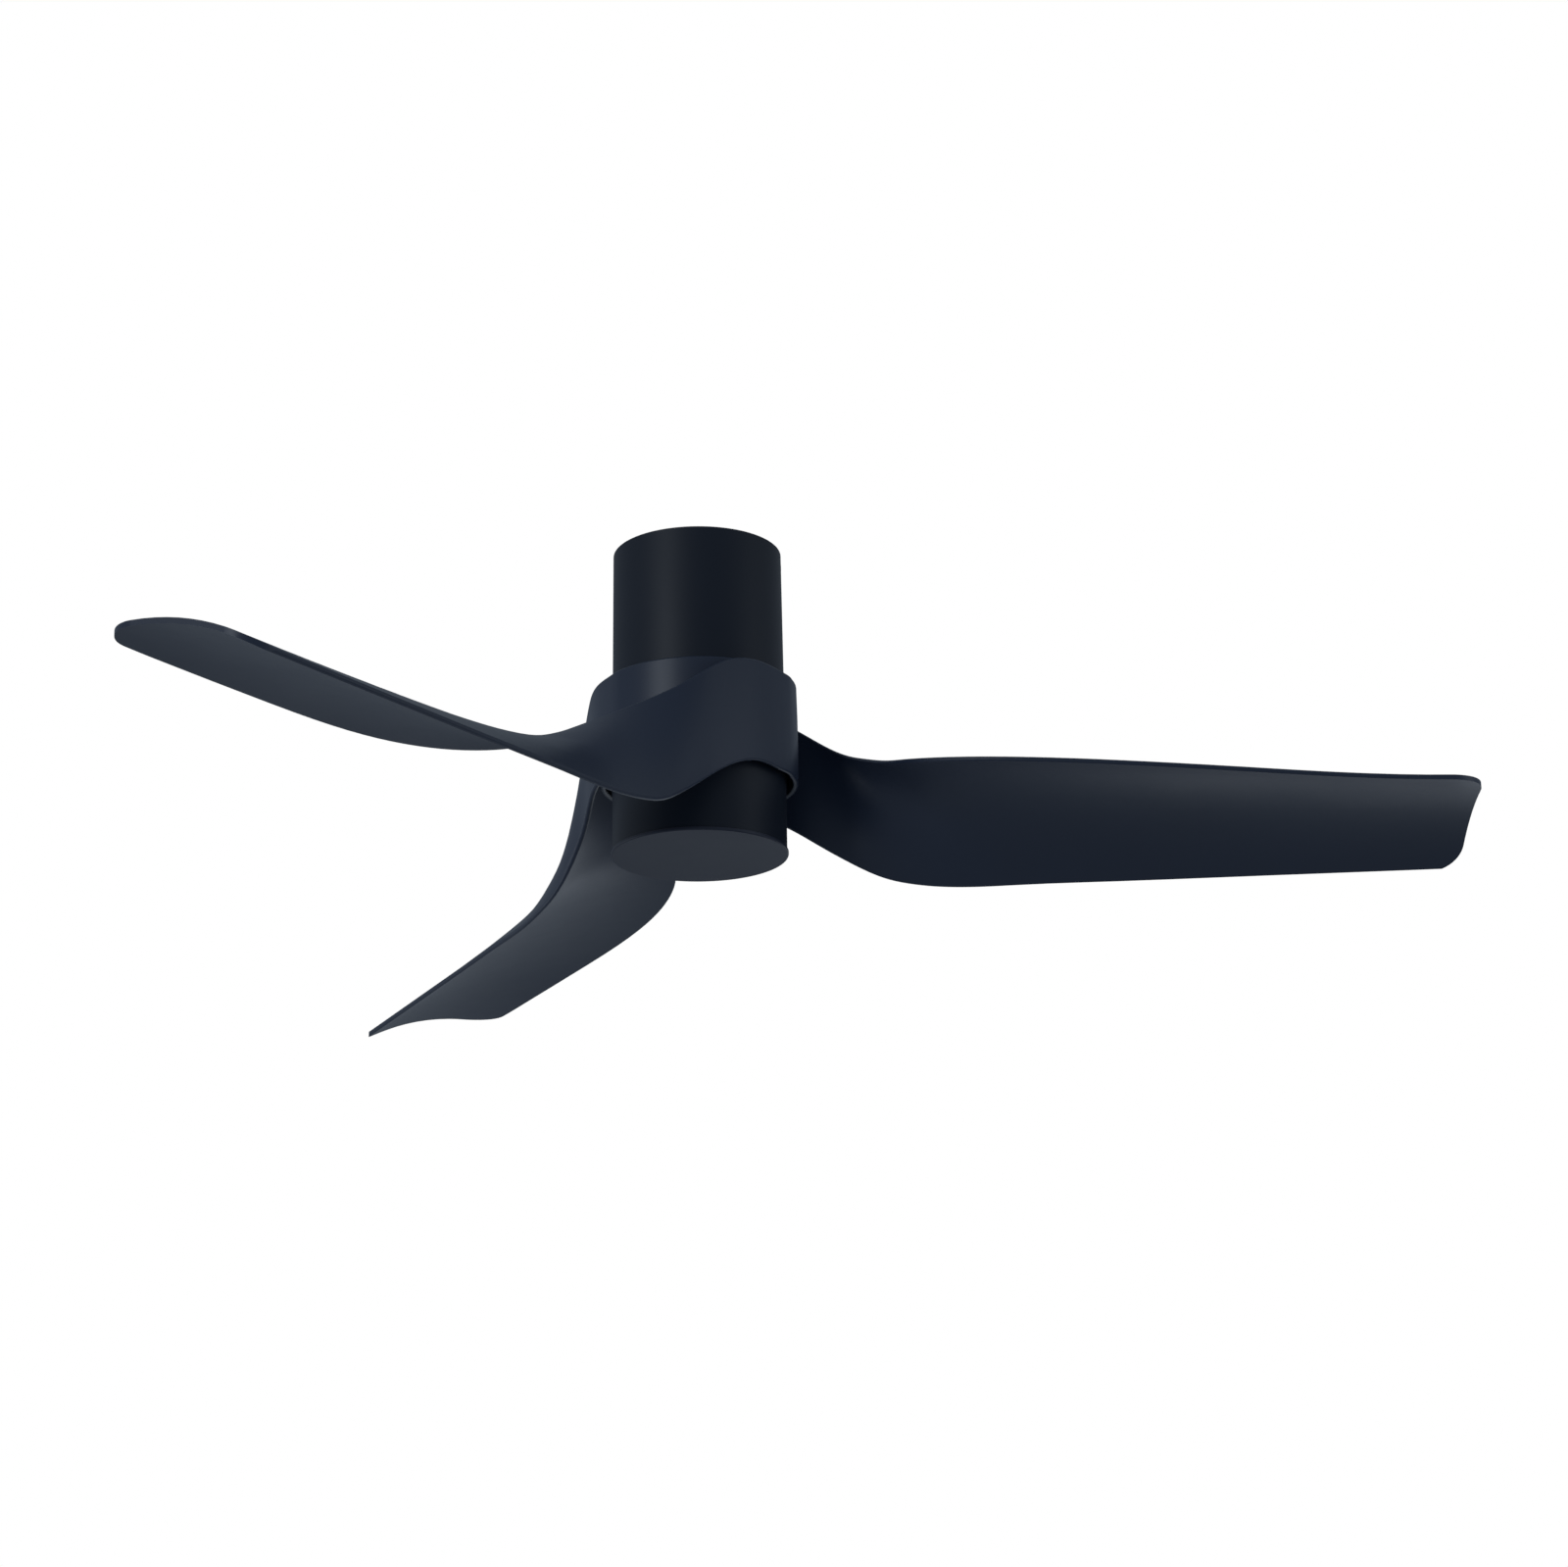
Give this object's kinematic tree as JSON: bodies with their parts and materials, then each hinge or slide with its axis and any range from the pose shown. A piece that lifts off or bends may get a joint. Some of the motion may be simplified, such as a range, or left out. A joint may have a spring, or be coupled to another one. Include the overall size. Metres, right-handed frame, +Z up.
{
  "type": "ceiling fan",
  "caption": "Flush ceiling fan with a plain round body, a light can closed by a twist-lock cover, and ribbon blades that twist out of a turning collar.",
  "frame": {"origin": "on the ceiling, at the centre of the ceiling bracket's top face, on the fan's axis", "axes": "+Z up into the ceiling along the fan's axis; +X towards the tip of blade 1 and along the bracket's slots"},
  "size_m": [1.0292, 1.1714, 0.2868],
  "materials": {
    "zinc_steel": "zinc plated",
    "navy_paint": "satin very dark navy paint",
    "dark_screw": "satin dark",
    "blade_plastic": "satin very dark navy",
    "cover_plastic": "satin very dark navy, smoked",
    "module_plastic": "moulded, fine texture",
    "ring_plastic": "moulded",
    "terminal_plastic": "moulded, off-white",
    "brass_screw": "turned",
    "circuit_board": "solder mask",
    "bush_rubber": "matte",
    "lamination_steel": "oiled",
    "copper_wire": "enamelled copper wire",
    "bearing_steel": "ground and polished",
    "cast_aluminium": "as cast",
    "magnet_grey": "sintered",
    "led_board_white": "white solder mask",
    "led_yellow": "phosphor",
    "lead_sheath": "soft sheath"
  },
  "bodies": {
    "root": {"mounting_bracket": "zinc_steel", "upper_housing": "navy_paint", "housing_screws": "dark_screw", "control_case": "module_plastic", "control_lid": "module_plastic", "control_board": "circuit_board", "control_screws": "zinc_steel", "terminal_block": "terminal_plastic", "terminal_screws": "brass_screw", "mount_plate": "zinc_steel", "isolation_bushes": "bush_rubber", "bush_screws": "zinc_steel", "stator_shaft": "zinc_steel", "shaft_flange_screws": "zinc_steel", "shaft_sleeves": "zinc_steel", "stator_key": "zinc_steel", "shaft_washer": "zinc_steel", "shaft_nut": "zinc_steel", "stator_core": "lamination_steel", "stator_coils": "copper_wire", "bearing_inner_races": "bearing_steel", "light_can": "navy_paint", "led_driver": "module_plastic", "driver_screws": "zinc_steel", "led_tray": "cast_aluminium", "tray_screws": "zinc_steel", "led_board": "led_board_white", "board_screws": "zinc_steel", "led_packages": "led_yellow", "bayonet_ring": "ring_plastic", "motor_lead": "lead_sheath", "light_lead": "lead_sheath"},
    "rotor": {"bearing_outer_races": "bearing_steel", "bearing_balls": "bearing_steel", "rotor_housing": "cast_aluminium", "rotor_cover": "cast_aluminium", "rotor_cover_screws": "zinc_steel", "back_iron": "lamination_steel", "rotor_magnets": "magnet_grey", "blade_1": "blade_plastic", "blade_2": "blade_plastic", "blade_3": "blade_plastic", "blade_screws": "zinc_steel"},
    "light_cover": {"light_cover": "cover_plastic"}
  },
  "joints": [
    {"name": "rotor_spin", "type": "hinge", "parent": "root", "child": "rotor", "pos_m": [0, 0, -0.1675], "axis": [0, 0, 1], "continuous": true},
    {"name": "cover_twist", "type": "hinge", "parent": "root", "child": "light_cover", "pos_m": [0, 0, -0.2695], "axis": [0, 0, 1], "range_deg": [-15, 0]}
  ]
}
